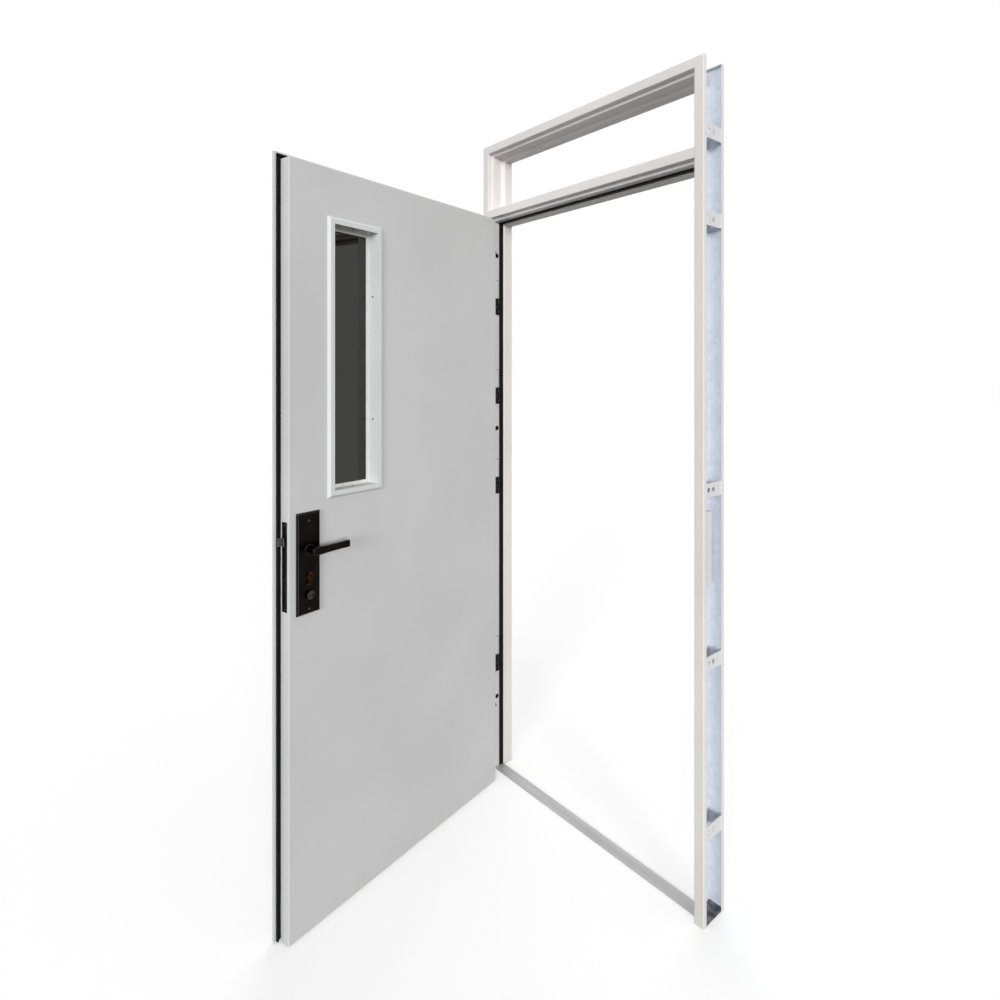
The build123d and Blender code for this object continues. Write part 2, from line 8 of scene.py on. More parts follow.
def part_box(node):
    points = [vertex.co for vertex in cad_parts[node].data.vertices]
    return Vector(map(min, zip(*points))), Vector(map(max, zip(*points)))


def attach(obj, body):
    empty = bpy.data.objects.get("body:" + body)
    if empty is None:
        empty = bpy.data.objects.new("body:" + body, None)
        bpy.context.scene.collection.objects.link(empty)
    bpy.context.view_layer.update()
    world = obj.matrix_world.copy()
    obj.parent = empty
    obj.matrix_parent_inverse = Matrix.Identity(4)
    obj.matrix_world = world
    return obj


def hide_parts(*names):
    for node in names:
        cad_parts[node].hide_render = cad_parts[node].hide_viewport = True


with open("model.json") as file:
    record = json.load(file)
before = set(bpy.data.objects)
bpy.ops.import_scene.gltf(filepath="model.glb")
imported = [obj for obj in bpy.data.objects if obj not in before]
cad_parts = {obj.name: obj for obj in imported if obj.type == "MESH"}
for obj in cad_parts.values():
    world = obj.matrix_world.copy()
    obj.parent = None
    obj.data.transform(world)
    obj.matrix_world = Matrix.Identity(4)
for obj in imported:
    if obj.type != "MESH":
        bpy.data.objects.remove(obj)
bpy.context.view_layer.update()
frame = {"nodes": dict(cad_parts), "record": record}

nodes = frame["nodes"]
mm = 0.001
print("fire door:", len(nodes), "CAD nodes loaded")

# where the solids stand, in mm from the frame's middle on the floor
door = {
    "halfWidth": 488.0,
    "halfDepth": 52.5,
    "height": 2400.0,
    "pin": (-456.5, -70.5),
    "openDegrees": 78.0,
    "pushFace": -0.5,
    "pullFace": -50.5,
    "plateThick": 8.0,
    "lockX": 380.0,
    "leverLevel": 1046.0,
}
pushPlate = door["pushFace"] + door["plateThick"]
pullPlate = door["pullFace"] - door["plateThick"]

pinPlace = Vector((*door["pin"], 0.0)) * mm
# leaf pieces are modelled with the leaf shut and then swung to where it stands
leafSwing = (Matrix.Translation(pinPlace) @ Matrix.Rotation(-math.radians(door["openDegrees"]), 4, "Z")
             @ Matrix.Translation(-pinPlace))
frameStill = Matrix.Identity(4)


# sRGB hex to linear
def linearColour(hexText):
    channels = []
    for start in (0, 2, 4):
        value = int(hexText[start:start + 2], 16) / 255.0
        channels.append(value / 12.92 if value <= 0.04045 else ((value + 0.055) / 1.055) ** 2.4)
    return (*channels, 1.0)


def perMetre(sizeMm):
    return 1000.0 / sizeMm  # pattern scale on object coordinates, which are in metres


# adds a node; links go by socket name or number, sockets are set by a settings name that starts with in_
def addNode(tree, kind, links=None, **settings):
    node = tree.nodes.new(kind)
    for name, value in settings.items():
        if name.startswith("in_"):
            key = name[3:]
            socket = node.inputs[int(key)] if key.isdigit() else node.inputs[key.replace("_", " ")]
            socket.default_value = linearColour(value) if isinstance(value, str) else value
        else:
            setattr(node, name, value)
    for key, source in (links or {}).items():
        tree.links.new(source, node.inputs[key])
    return node


def newMaterial(name, roughness, metallic=0.0, specular=0.5):
    material = bpy.data.materials.new(name)
    material.use_nodes = True
    tree = material.node_tree
    tree.nodes.clear()
    shader = addNode(tree, "ShaderNodeBsdfPrincipled", in_Roughness=roughness, in_Metallic=metallic)
    if not metallic:
        shader.inputs["Specular IOR Level"].default_value = specular
    addNode(tree, "ShaderNodeOutputMaterial", {"Surface": shader.outputs["BSDF"]})
    place = addNode(tree, "ShaderNodeTexCoord").outputs["Object"]
    return material, tree, shader, place


# cloudy two-tone colour with a fine bump, the base of most finishes here
clouding = {"low": 0.36, "high": 0.64, "cloudDetail": 4.0, "grainDetail": 2.0}
evenStretch = (1.0, 1.0, 1.0)


def mottle(tree, shader, place, tones, cloudMm, grainMm, grainDepth, stretch=evenStretch):
    spread = addNode(tree, "ShaderNodeMapping", {"Vector": place}, in_Scale=stretch).outputs["Vector"]
    cloud = addNode(tree, "ShaderNodeTexNoise", {"Vector": spread}, in_Scale=perMetre(cloudMm),
                    in_Detail=clouding["cloudDetail"])
    share = addNode(tree, "ShaderNodeMapRange", {"Value": cloud.outputs["Fac"]}, in_1=clouding["low"],
                    in_2=clouding["high"])
    colour = addNode(tree, "ShaderNodeMix", {"Factor": share.outputs["Result"]}, data_type="RGBA",
                     in_6=tones[0], in_7=tones[1]).outputs["Result"]
    grain = addNode(tree, "ShaderNodeTexNoise", {"Vector": spread}, in_Scale=perMetre(grainMm),
                    in_Detail=clouding["grainDetail"])
    bump = addNode(tree, "ShaderNodeBump", {"Height": grain.outputs["Fac"]}, in_Strength=grainDepth,
                   in_Distance=mm)
    tree.links.new(colour, shader.inputs["Base Color"])
    tree.links.new(bump.outputs["Normal"], shader.inputs["Normal"])
    return colour


# arrises painted paler, partly as rubbed wear and partly as painted highlight, found where a rounded normal
# leaves the true one
wearAndHighlightRange = {"starts": 0.995, "full": 0.90, "samples": 4}


def paintEdgeWearAndHighlight(tree, shader, colour, wearAndHighlightTone, radiusMm):
    rounded = addNode(tree, "ShaderNodeBevel", in_Radius=radiusMm * mm, samples=wearAndHighlightRange["samples"])
    flat = addNode(tree, "ShaderNodeNewGeometry")
    match = addNode(tree, "ShaderNodeVectorMath", {0: rounded.outputs["Normal"], 1: flat.outputs["Normal"]},
                    operation="DOT_PRODUCT")
    wearAndHighlight = addNode(tree, "ShaderNodeMapRange", {"Value": match.outputs["Value"]}, in_1=wearAndHighlightRange["starts"],
                   in_2=wearAndHighlightRange["full"])
    colour = addNode(tree, "ShaderNodeMix", {"Factor": wearAndHighlight.outputs["Result"], 6: colour}, data_type="RGBA",
                     in_7=wearAndHighlightTone).outputs["Result"]
    tree.links.new(colour, shader.inputs["Base Color"])


# Polyester powder coat on folded steel sheet: an even satin skin with fine orange peel and faint clouding.
# The peel is about 0.8 mm across in life and drawn at 3 mm so that it still shows.
powderCoat = {"cloudMm": 380.0, "peelMm": 3.0, "peelDepth": 0.10, "roughness": 0.45}


def powderCoatFinish(name, pale, deep):
    material, tree, shader, place = newMaterial(name, powderCoat["roughness"])
    colour = mottle(tree, shader, place, (pale, deep), powderCoat["cloudMm"], powderCoat["peelMm"],
                    powderCoat["peelDepth"])
    return material, tree, shader, place, colour


# Hot-dip galvanised sheet inside the frame's open channels: bluish zinc with large soft spangle.
zincSheet = {"pale": "dfe4ec", "deep": "d4dae3", "spangleMm": 14.0}
# the folded section's steps, in mm, that part its coated outside from its bare inside
section = {"face": 30.0, "recessDepth": 20.0, "recessWidth": 10.0, "seatStart": 55.0, "seatEnd": 70.0,
           "stopHeight": 9.0, "halfSheet": 0.75}


# Frame: warm white coat outside, zinc where a point lies inside the folded section.
def frameFinish():
    material, tree, shader, place, coat = powderCoatFinish("powder coat warm white", "e8e4e2", "e1dddb")

    def work(operation, first, second=0.0):
        node = addNode(tree, "ShaderNodeMath", operation=operation)
        for socket, value in zip(node.inputs, (first, second)):
            if isinstance(value, float):
                socket.default_value = value
            else:
                tree.links.new(value, socket)
        return node.outputs["Value"]

    axes = addNode(tree, "ShaderNodeSeparateXYZ", {"Vector": place})
    across, depth, level = axes.outputs["X"], axes.outputs["Y"], axes.outputs["Z"]
    fromSide = work("SUBTRACT", door["halfWidth"] * mm, work("ABSOLUTE", across))
    fromTop = work("SUBTRACT", door["height"] * mm, level)
    inward = work("MINIMUM", fromSide, fromTop)
    half = section["halfSheet"]
    pastRecess = work("GREATER_THAN", depth, (section["recessDepth"] + half - door["halfDepth"]) * mm)
    seat = addNode(tree, "ShaderNodeMapRange", {"Value": depth}, in_4=section["stopHeight"] * mm,
                   in_1=(section["seatStart"] - door["halfDepth"]) * mm,
                   in_2=(section["seatEnd"] - door["halfDepth"]) * mm)
    wall = work("ADD", work("MULTIPLY", pastRecess, section["recessWidth"] * mm), seat.outputs["Result"])
    wall = work("ADD", wall, (section["face"] - half) * mm)
    inside = work("MULTIPLY", work("GREATER_THAN", inward, half * mm), work("LESS_THAN", inward, wall))
    betweenFaces = work("LESS_THAN", work("ABSOLUTE", depth), (door["halfDepth"] - half) * mm)
    inside = work("MULTIPLY", inside, betweenFaces)
    spangle = addNode(tree, "ShaderNodeTexVoronoi", {"Vector": place},
                      in_Scale=perMetre(zincSheet["spangleMm"]))
    shade = addNode(tree, "ShaderNodeSeparateColor", {"Color": spangle.outputs["Color"]})
    zinc = addNode(tree, "ShaderNodeMix", {"Factor": shade.outputs["Red"]}, data_type="RGBA",
                   in_6=zincSheet["pale"], in_7=zincSheet["deep"])
    colour = addNode(tree, "ShaderNodeMix", {"Factor": inside, 6: coat, 7: zinc.outputs["Result"]},
                     data_type="RGBA")
    tree.links.new(colour.outputs["Result"], shader.inputs["Base Color"])
    return material


def plainFinish(name, tones, cloudMm, grainMm, grainDepth, roughness, metallic=0.0, specular=0.5,
                stretch=evenStretch, wearAndHighlight=None, wearAndHighlightMm=0.8):
    material, tree, shader, place = newMaterial(name, roughness, metallic, specular)
    colour = mottle(tree, shader, place, tones, cloudMm, grainMm, grainDepth, stretch)
    # paler arrises: rubbed wear together with a painted highlight
    if wearAndHighlight:
        paintEdgeWearAndHighlight(tree, shader, colour, wearAndHighlight, wearAndHighlightMm)
    return material


finishes = {
    "frame_paint": frameFinish(),
    # Leaf sheet in a greyer coat than the frame's.
    "leaf_paint": powderCoatFinish("powder coat pale grey", "d2d3d2", "cbcccb")[0],
    # Straps, strike box and window frames are coated all over, so they stay white inside the channel too.
    "white_coat": powderCoatFinish("powder coat white", "dfe0e0", "d7d8d8")[0],
    # Foot plates: primed steel rubbed by the floor, so patchy and dull.
    "foot_steel": plainFinish(
        "scuffed primed steel", ("4c4d52", "8b8b91"), cloudMm=22.0, grainMm=2.0, grainDepth=0.25,
        roughness=0.6, specular=0.3),
    # Threshold: rolled strip with long faint streaks along its length.
    "threshold_steel": plainFinish(
        "rolled steel strip", ("c9c9ca", "b9b9ba"), cloudMm=30.0, grainMm=3.0, grainDepth=0.12,
        roughness=0.5, metallic=0.5, stretch=(0.08, 1.0, 1.0)),
    # Extruded EPDM: matt black with a faint drawn line.
    "seal_rubber": plainFinish(
        "extruded EPDM rubber", ("0b0b0c", "141415"), cloudMm=6.0, grainMm=1.5, grainDepth=0.15,
        roughness=0.75, specular=0.12, stretch=(1.0, 1.0, 0.1)),
    # Hinges: black phosphate on pressed steel, painted bright along the arrises as rubbed wear and a painted
    # highlight.
    "hinge_bronze": plainFinish(
        "black phosphated steel", ("1b1a19", "282624"), cloudMm=9.0, grainMm=1.5, grainDepth=0.12,
        roughness=0.45, metallic=1.0, wearAndHighlight="5d5a55"),
    # Hinge pins: ground steel, plain and bright.
    "pin_steel": plainFinish(
        "ground steel", ("9fa0a2", "86878a"), cloudMm=6.0, grainMm=1.0, grainDepth=0.08,
        roughness=0.28, metallic=1.0),
    # Furniture: lacquered dark bronze plating, almost black, with brown arrises that are rubbed wear and a
    # painted highlight.
    "furniture_bronze": plainFinish(
        "dark bronze plated zinc", ("14110f", "1b1714"), cloudMm=26.0, grainMm=1.2, grainDepth=0.06,
        roughness=0.30, metallic=1.0, wearAndHighlight="7a7168", wearAndHighlightMm=1.6),
    # Thumb turn: the same plating polished smooth by fingers, with a pale rim that is a painted glint.
    "turn_bronze": plainFinish(
        "polished bronze plated zinc with painted glint", ("1b1816", "27231f"), cloudMm=12.0, grainMm=0.8, grainDepth=0.04,
        roughness=0.15, metallic=1.0, wearAndHighlight="b3ada4", wearAndHighlightMm=1.0),
    # Cylinder: satin copper plating on brass; the dark tone is a painted dark reflection, the orange arrises
    # a painted highlight.
    "cylinder_copper": plainFinish(
        "copper plated brass", ("2e1a10", "1f120b"), cloudMm=7.0, grainMm=0.8, grainDepth=0.06,
        roughness=0.22, metallic=1.0, wearAndHighlight="99693d", wearAndHighlightMm=0.6),
    # Faceplate, deadbolt and dog bolts: black zinc, grey along the rims as rubbed wear and a painted
    # highlight.
    "lock_black": plainFinish(
        "black zinc plated steel", ("1d1d1f", "2c2c2f"), cloudMm=8.0, grainMm=1.2, grainDepth=0.08,
        roughness=0.42, metallic=1.0, wearAndHighlight="85868a"),
    # Strike plate and the lock's inside: bright zinc plate dulled by handling.
    "lock_steel": plainFinish(
        "bright zinc plated steel", ("a2a4a8", "84868b"), cloudMm=10.0, grainMm=1.0, grainDepth=0.06,
        roughness=0.34, metallic=1.0),
    # Latch bolt: smoother than the plates; its dark tone is painted shade and its pale arrises a painted
    # highlight.
    "bolt_steel": plainFinish(
        "steel bolts with painted shade and highlight", ("44464a", "323438"), cloudMm=12.0, grainMm=1.0, grainDepth=0.05,
        roughness=0.18, metallic=1.0, wearAndHighlight="d0d2d6"),
    # Glazing tape: soft, matt and white.
    "glass_seal_white": plainFinish(
        "white glazing tape", ("e4e3df", "d8d7d2"), cloudMm=12.0, grainMm=1.5, grainDepth=0.10,
        roughness=0.7, specular=0.3),
    # Infill: compressed mineral wool, fibrous and uneven.
    "infill_wool": plainFinish(
        "mineral wool", ("8f8460", "726845"), cloudMm=5.0, grainMm=1.5, grainDepth=0.6,
        roughness=0.95, specular=0.1, stretch=(0.4, 1.0, 1.0)),
    # Window screws: black zinc with paler crosses, as rubbed wear and a painted highlight.
    "dark_screw": plainFinish(
        "black zinc plated screws", ("2b2a2a", "3d3b3a"), cloudMm=3.0, grainMm=0.6, grainDepth=0.06,
        roughness=0.35, metallic=1.0, wearAndHighlight="8b8781", wearAndHighlightMm=0.4),
    # Plate, hinge and faceplate screws: zinc gone dull and grey.
    "dull_screw": plainFinish(
        "dulled zinc plated screws", ("4d4a47", "393735"), cloudMm=3.0, grainMm=0.6, grainDepth=0.06,
        roughness=0.32, metallic=1.0, wearAndHighlight="8f8b85", wearAndHighlightMm=0.4),
    # Strike screws: zinc that is still bright.
    "bright_screw": plainFinish(
        "bright zinc plated screws", ("b7b8bb", "96979b"), cloudMm=3.0, grainMm=0.6, grainDepth=0.06,
        roughness=0.28, metallic=1.0),
}

# Fire glass: thick clear float glass, mirror-smooth, drawn near-black as painted shade for a dark room behind
# it, so it shows mostly its own reflection.
fireGlass = {"paintedDark": "171614", "roughness": 0.02, "refraction": 1.52, "transmission": 0.9,
             "rippleMm": 160.0, "rippleDepth": 0.04}
glass, glassTree, glassShader, glassPlace = newMaterial("fire glass with painted dark behind", fireGlass["roughness"])
# near-black base: painted shade for the dark room seen through the glass
glassShader.inputs["Base Color"].default_value = linearColour(fireGlass["paintedDark"])
glassShader.inputs["IOR"].default_value = fireGlass["refraction"]
glassShader.inputs["Transmission Weight"].default_value = fireGlass["transmission"]
ripple = addNode(glassTree, "ShaderNodeTexNoise", {"Vector": glassPlace},
                 in_Scale=perMetre(fireGlass["rippleMm"]))
glassBump = addNode(glassTree, "ShaderNodeBump", {"Height": ripple.outputs["Fac"]}, in_Distance=mm,
                    in_Strength=fireGlass["rippleDepth"])
glassTree.links.new(glassBump.outputs["Normal"], glassShader.inputs["Normal"])
finishes["fire_glass"] = glass
finishes["glazing_paint"] = finishes["white_coat"]

# nodes whose finish differs from the rest of their slot
ownFinish = {"hinge_jamb_straps": "white_coat", "lock_jamb_straps": "white_coat", "strike_box": "white_coat",
             "latch_bolt": "bolt_steel", "dog_bolts": "lock_black", "deadbolt": "lock_black",
             "thumb_turn": "turn_bronze"}
for entry in frame["record"]["subparts"]:
    target = nodes[entry["node"]]
    finish = ownFinish.get(entry["node"], entry["material_slot"])
    target.data.materials.clear()
    target.data.materials.append(finishes[finish])
print("fire door:", len(finishes), "finishes made and given to the CAD nodes")


def clearSelection():
    if bpy.context.object and bpy.context.object.mode != "OBJECT":
        bpy.ops.object.mode_set(mode="OBJECT")
    bpy.ops.object.select_all(action="DESELECT")


def makeActive(piece):
    clearSelection()
    piece.select_set(True)
    bpy.context.view_layer.objects.active = piece


# a block and an upright cylinder, in mm, each at its size and place with nothing left to apply
def addBlock(sizes, middle, turn=0.0):
    clearSelection()
    bpy.ops.mesh.primitive_cube_add(size=1.0, location=tuple(value * mm for value in middle),
                                    rotation=(0.0, 0.0, turn), scale=tuple(value * mm for value in sizes))
    bpy.ops.object.transform_apply(location=True, rotation=True, scale=True)
    return bpy.context.object


def addCylinder(sides, radius, length, middleLevel):
    clearSelection()
    bpy.ops.mesh.primitive_cylinder_add(vertices=sides, radius=radius * mm, depth=length * mm,
                                        location=(0.0, 0.0, middleLevel * mm))
    bpy.ops.object.transform_apply(location=True, rotation=True, scale=True)
    return bpy.context.object


# edit mode with only those faces or edges chosen that pass the test
def choose(piece, kind, test):
    makeActive(piece)
    bpy.ops.object.mode_set(mode="EDIT")
    bpy.ops.mesh.select_mode(type=kind)
    bpy.ops.mesh.select_all(action="DESELECT")
    bpy.ops.object.mode_set(mode="OBJECT")
    for part in piece.data.polygons if kind == "FACE" else piece.data.edges:
        part.select = test(part)
    bpy.ops.object.mode_set(mode="EDIT")


ways = {"+x": (1.0, 0.0, 0.0), "-x": (-1.0, 0.0, 0.0), "+y": (0.0, 1.0, 0.0), "-y": (0.0, -1.0, 0.0),
        "+z": (0.0, 0.0, 1.0), "-z": (0.0, 0.0, -1.0)}
faceMatch = 0.9  # cosine above which a face counts as facing a way


def pickFaces(piece, way):
    choose(piece, "FACE", lambda face: face.normal.dot(Vector(ways[way])) > faceMatch)


# the test gets an edge's two ends in mm
def pickEdges(piece, test):
    choose(piece, "EDGE", lambda edge: test(*(piece.data.vertices[index].co / mm for index in edge.vertices)))


def applyModifier(piece, kind, **settings):
    makeActive(piece)
    modifier = piece.modifiers.new(kind.lower(), kind)
    for name, value in settings.items():
        setattr(modifier, name, value)
    bpy.ops.object.modifier_apply(modifier=modifier.name)


# insets the top face by a wall and lifts or sinks what is inside; edit mode stays on with that face chosen
def moveTop(piece, wall, rise):
    pickFaces(piece, "+z")
    bpy.ops.mesh.inset(thickness=wall * mm)
    bpy.ops.mesh.extrude_region_move(TRANSFORM_OT_translate={"value": (0.0, 0.0, rise * mm)})


def roundArrises(piece, sizes):
    applyModifier(piece, "BEVEL", width=sizes["arris"] * mm, segments=sizes["arrisSteps"],
                  limit_method="ANGLE", angle_limit=math.radians(sizes["arrisDegrees"]))


def putAt(piece, matrix):
    makeActive(piece)
    piece.matrix_world = matrix
    bpy.ops.object.transform_apply(location=True, rotation=True, scale=True)


# local axes for a piece modelled with z outwards from what carries it and x along the given way
def facing(placeMm, outward, along):
    outwardAxis, alongAxis = Vector(ways[outward]), Vector(ways[along])
    turn = Matrix((alongAxis, outwardAxis.cross(alongAxis), outwardAxis)).transposed()
    return Matrix.Translation(Vector(placeMm) * mm) @ turn.to_4x4()


def copyTo(model, matrices, name):
    copies = []
    for matrix in matrices:
        makeActive(model)
        bpy.ops.object.duplicate(linked=False)
        copies.append(bpy.context.object)
        putAt(copies[-1], matrix)
    clearSelection()
    for copy in copies:
        copy.select_set(True)
    bpy.context.view_layer.objects.active = copies[0]
    if len(copies) > 1:
        bpy.ops.object.join()
    piece = bpy.context.object
    piece.name = name
    return piece


def dress(piece, body, finish, smoothDegrees=35.0):
    makeActive(piece)
    bpy.ops.object.shade_smooth_by_angle(angle=math.radians(smoothDegrees))
    piece.data.materials.clear()
    piece.data.materials.append(finishes[finish])
    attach(piece, body)


def discard(piece):
    mesh = piece.data
    bpy.data.objects.remove(piece)
    bpy.data.meshes.remove(mesh)


# Lever handle, modelled with z out of its plate and x towards the tip: a flat bar on a round neck.
leverSizes = {
    "heel": -12.0, "tip": 108.0, "back": 28.0, "front": 38.0, "rootHeight": 22.0, "tipHeight": 19.0,
    "waist": 0.93, "waistStart": 25.0, "waistEnd": 85.0, "cuts": 7,
    "heelRound": 7.0, "heelSteps": 6, "tipRound": 2.5, "tipSteps": 4,
    "arris": 1.4, "arrisSteps": 3, "arrisDegrees": 40.0,
    "neckRadius": 10.0, "neckFoot": 0.3, "neckSides": 64,
    "longEdge": 50.0, "thickEdge": 5.0, "endReach": 1.0,
}
barMiddle = (leverSizes["heel"] + leverSizes["tip"]) / 2
barLevel = (leverSizes["back"] + leverSizes["front"]) / 2
leverModel = addBlock((leverSizes["tip"] - leverSizes["heel"], leverSizes["rootHeight"],
                       leverSizes["front"] - leverSizes["back"]), (barMiddle, 0.0, barLevel))
pickFaces(leverModel, "+x")
bpy.ops.transform.resize(value=(1.0, leverSizes["tipHeight"] / leverSizes["rootHeight"], 1.0),
                         center_override=(leverSizes["tip"] * mm, 0.0, 0.0))
pickEdges(leverModel, lambda first, second: abs(first.x - second.x) > leverSizes["longEdge"])
bpy.ops.mesh.subdivide(number_cuts=leverSizes["cuts"])
pickEdges(leverModel, lambda first, second: all(leverSizes["waistStart"] < end.x < leverSizes["waistEnd"]
                                                for end in (first, second)))
bpy.ops.transform.resize(value=(1.0, leverSizes["waist"], 1.0), center_override=(barMiddle * mm, 0.0, 0.0))
# the corners through the bar's thickness: wide rounds at the heel, tight ones at the tip
for end in ("heel", "tip"):
    pickEdges(leverModel, lambda first, second: abs(first.z - second.z) > leverSizes["thickEdge"]
              and abs(first.x - leverSizes[end]) < leverSizes["endReach"])
    bpy.ops.mesh.bevel(offset=leverSizes[end + "Round"] * mm, segments=leverSizes[end + "Steps"],
                       affect="EDGES")
bpy.ops.object.mode_set(mode="OBJECT")
roundArrises(leverModel, leverSizes)
neckLength = barLevel - leverSizes["neckFoot"]
neck = addCylinder(leverSizes["neckSides"], leverSizes["neckRadius"], neckLength,
                   leverSizes["neckFoot"] + neckLength / 2)
applyModifier(leverModel, "BOOLEAN", operation="UNION", object=neck, solver="EXACT")
discard(neck)

# Low collar on the plate, round the neck.
collarSizes = {"radius": 13.5, "height": 2.6, "bore": 10.6, "floor": 0.2, "sides": 64,
               "arris": 0.9, "arrisSteps": 3, "arrisDegrees": 60.0}
collarModel = addCylinder(collarSizes["sides"], collarSizes["radius"], collarSizes["height"],
                          collarSizes["height"] / 2)
moveTop(collarModel, collarSizes["radius"] - collarSizes["bore"],
        collarSizes["floor"] - collarSizes["height"])
bpy.ops.object.mode_set(mode="OBJECT")
roundArrises(collarModel, collarSizes)

# furniture stands on both faces of the leaf, turned so that each lever points at the hinges
pushFurniture = leafSwing @ facing((door["lockX"], pushPlate, door["leverLevel"]), "+y", "-x")
pullFurniture = leafSwing @ facing((door["lockX"], pullPlate, door["leverLevel"]), "-y", "-x")
for name, spot in (("push", pushFurniture), ("pull", pullFurniture)):
    lever = copyTo(leverModel, [spot], "lever_handle_" + name)
    dress(lever, "lever", "furniture_bronze")
    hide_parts("lever_" + name)
collars = copyTo(collarModel, [pushFurniture, pullFurniture], "lever_collars")
dress(collars, "leaf", "furniture_bronze")
discard(leverModel)
discard(collarModel)
print("fire door: levers and collars modelled")

# Cross-head screw, modelled at 8 mm across with its head on z = 0.
screwSizes = {"radius": 4.0, "height": 1.3, "sunk": 0.6, "sides": 28, "rim": 0.8, "rimSteps": 3,
              "crossLength": 4.8, "crossWidth": 1.1, "crossDepth": 0.9, "leanStep": 0.7}
screwModel = addCylinder(screwSizes["sides"], screwSizes["radius"], screwSizes["height"] + screwSizes["sunk"],
                         (screwSizes["height"] - screwSizes["sunk"]) / 2)
pickFaces(screwModel, "+z")
bpy.ops.mesh.bevel(offset=screwSizes["rim"] * mm, segments=screwSizes["rimSteps"], affect="EDGES")
bpy.ops.object.mode_set(mode="OBJECT")
for turn in (0.0, math.pi / 2):
    slotCutter = addBlock((screwSizes["crossLength"], screwSizes["crossWidth"], 2 * screwSizes["crossDepth"]),
                          (0.0, 0.0, screwSizes["height"]), turn)
    applyModifier(screwModel, "BOOLEAN", operation="DIFFERENCE", object=slotCutter, solver="EXACT")
    discard(slotCutter)


# screws of one size; each place is (x, y, z) in mm with the way that the head faces
def placeScrews(name, places, radius, carrier, body, finish):
    size = Matrix.Scale(radius / screwSizes["radius"], 4)
    spots = []
    for number, (spot, outward) in enumerate(places):
        along = "+x" if outward in ("+z", "-z") else "+z"
        lean = Matrix.Rotation(screwSizes["leanStep"] * number, 4, "Z")  # no two crosses stand alike
        spots.append(carrier @ facing(spot, outward, along) @ lean @ size)
    dress(copyTo(screwModel, spots, name), body, finish)


plateScrews = {"levels": (1124.0, 885.0), "radius": 3.4}
placeScrews("plate_screws",
            [((door["lockX"], y, z), way) for y, way in ((pushPlate, "+y"), (pullPlate, "-y"))
             for z in plateScrews["levels"]],
            plateScrews["radius"], leafSwing, "leaf", "dull_screw")

# small fixings in the window frame's reveal
window = {"left": 138.5, "right": 295.5, "bottom": 1192.5, "top": 1946.5, "middle": 217.0,
          "sideLevels": (1756.5, 1385.0), "sideDepth": -17.5, "topDepth": -13.5, "topInset": 7.5,
          "screwRadius": 2.8}
reveal = [((window[side], window["sideDepth"], z), way) for side, way in (("left", "+x"), ("right", "-x"))
          for z in window["sideLevels"]]
reveal += [((x, window["topDepth"], window["top"]), "-z")
           for x in (window["left"] + window["topInset"], window["middle"],
                     window["right"] - window["topInset"])]
reveal += [((window["middle"], window["topDepth"], window["bottom"]), "+z")]
placeScrews("window_screws", reveal, window["screwRadius"], leafSwing, "leaf", "dark_screw")

# three screws in each hinge flag, staggered as on the frame's side
hingeScrews = {"pattern": ((-10.5, 13.0), (-19.5, 32.0), (-10.5, 50.0)), "frameFace": -445.0,
               "leafFace": -440.0, "radius": 3.2, "hinges": 4}
frameScrews, leafScrews = [], []
for number in range(1, hingeScrews["hinges"] + 1):
    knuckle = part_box("hinge_frame_flag_%d" % number)[1][2] / mm
    for y, away in hingeScrews["pattern"]:
        frameScrews.append(((hingeScrews["frameFace"], y, knuckle - away), "+x"))
        leafScrews.append(((hingeScrews["leafFace"], y, knuckle + away), "-x"))
placeScrews("hinge_screws_frame", frameScrews, hingeScrews["radius"], frameStill, "frame", "dull_screw")
placeScrews("hinge_screws_leaf", leafScrews, hingeScrews["radius"], leafSwing, "leaf", "dull_screw")

# two screws each in the lock's faceplate and in the strike plate
lockScrews = {"faceplateX": 437.0, "faceplateY": -20.5, "faceplateLevels": (1118.0, 893.0),
              "strikeX": 446.5, "strikeY": -18.5, "strikeLevels": (1140.5, 937.5), "radius": 3.2}
placeScrews("faceplate_screws",
            [((lockScrews["faceplateX"], lockScrews["faceplateY"], z), "+x")
             for z in lockScrews["faceplateLevels"]],
            lockScrews["radius"], leafSwing, "leaf", "dull_screw")
placeScrews("strike_screws",
            [((lockScrews["strikeX"], lockScrews["strikeY"], z), "-x") for z in lockScrews["strikeLevels"]],
            lockScrews["radius"], frameStill, "frame", "bright_screw")
discard(screwModel)
print("fire door: screws placed")

# Short welds that hold each anchor strap to the two returns of its jamb.
weldSizes = {"length": 11.0, "width": 3.4, "height": 1.3, "segments": 14, "rings": 8, "ripple": 0.25,
             "seed": 4, "smoothDegrees": 60.0, "levels": (252.0, 720.0, 1200.0, 1953.6, 2196.0),
             "spread": 11.0, "returns": (-37.5, 38.5), "strapFace": 486.5}
clearSelection()
bpy.ops.mesh.primitive_uv_sphere_add(segments=weldSizes["segments"], ring_count=weldSizes["rings"],
                                     radius=0.5)
weldModel = bpy.context.object
bpy.ops.transform.resize(value=(weldSizes["length"] * mm, weldSizes["width"] * mm,
                                2 * weldSizes["height"] * mm))
bpy.ops.object.transform_apply(location=True, rotation=True, scale=True)
makeActive(weldModel)
bpy.ops.object.mode_set(mode="EDIT")
bpy.ops.mesh.select_all(action="SELECT")
bpy.ops.mesh.bisect(plane_co=(0.0, 0.0, 0.0), plane_no=ways["+z"], use_fill=True, clear_inner=True)
bpy.ops.mesh.select_all(action="SELECT")
bpy.ops.transform.vertex_random(offset=weldSizes["ripple"] * mm, seed=weldSizes["seed"])
bpy.ops.object.mode_set(mode="OBJECT")
welds = []
for side, way in ((-1.0, "-x"), (1.0, "+x")):
    for level in weldSizes["levels"]:
        for y in weldSizes["returns"]:
            for step in (-weldSizes["spread"], weldSizes["spread"]):
                welds.append(facing((side * weldSizes["strapFace"], y, level + step), way, "+z"))
dress(copyTo(weldModel, welds, "strap_welds"), "frame", "white_coat",
      weldSizes["smoothDegrees"])
discard(weldModel)
print("fire door: strap welds laid")
